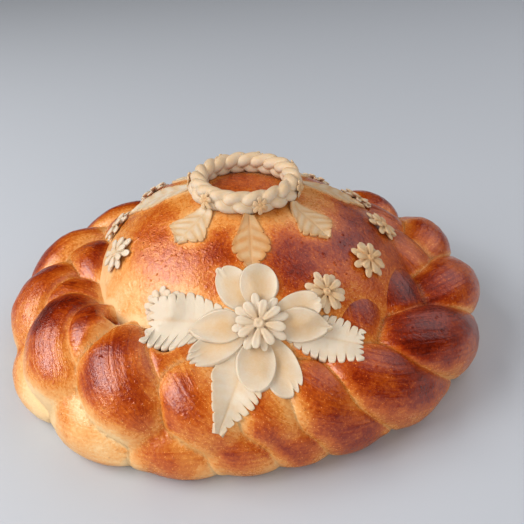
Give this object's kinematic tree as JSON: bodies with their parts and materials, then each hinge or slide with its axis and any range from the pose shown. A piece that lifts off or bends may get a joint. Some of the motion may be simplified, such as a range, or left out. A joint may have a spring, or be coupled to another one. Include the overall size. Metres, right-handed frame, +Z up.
{
  "type": "wedding loaf",
  "caption": "Round wedding loaf: a glazed brown dome inside a fat plaited ring, dressed with pale dough leaves, blossoms, a large flower and a small plaited wreath on its crown.",
  "frame": {"origin": "centre of the flat underside, at table height", "axes": "+Z up through the crown, -Y towards the front, which is the side with the large flower"},
  "size_m": [0.3016, 0.2742, 0.1115],
  "materials": {
    "crust": "glossy egg-washed crust",
    "pale_dough": "matte pale baked dough"
  },
  "bodies": {
    "root": {"dome": "crust", "plait_ring": "crust", "crown_wreath": "pale_dough", "crown_leaf_1": "pale_dough", "crown_leaf_2": "pale_dough", "crown_leaf_3": "pale_dough", "crown_leaf_4": "pale_dough", "crown_leaf_5": "pale_dough", "crown_leaf_6": "pale_dough", "crown_leaf_7": "pale_dough", "crown_leaf_8": "pale_dough", "mini_blossom_1": "pale_dough", "mini_blossom_2": "pale_dough", "mini_blossom_3": "pale_dough", "mini_blossom_4": "pale_dough", "mini_blossom_5": "pale_dough", "mini_blossom_6": "pale_dough", "mini_blossom_7": "pale_dough", "daisy_1": "pale_dough", "daisy_2": "pale_dough", "daisy_3": "pale_dough", "daisy_4": "pale_dough", "daisy_5": "pale_dough", "daisy_6": "pale_dough", "daisy_7": "pale_dough", "daisy_8": "pale_dough", "daisy_9": "pale_dough", "daisy_10": "pale_dough", "daisy_11": "pale_dough", "flower_leaf_left": "pale_dough", "flower_leaf_right": "pale_dough", "flower_leaf_below": "pale_dough", "flower_petal_north_west": "pale_dough", "flower_petal_north_east": "pale_dough", "flower_petal_south_west": "pale_dough", "flower_petal_south_east": "pale_dough", "flower_petal_north": "pale_dough", "flower_petal_west": "pale_dough", "flower_petal_east": "pale_dough", "flower_petal_south": "pale_dough", "flower_heart": "pale_dough"}
  },
  "joints": []
}
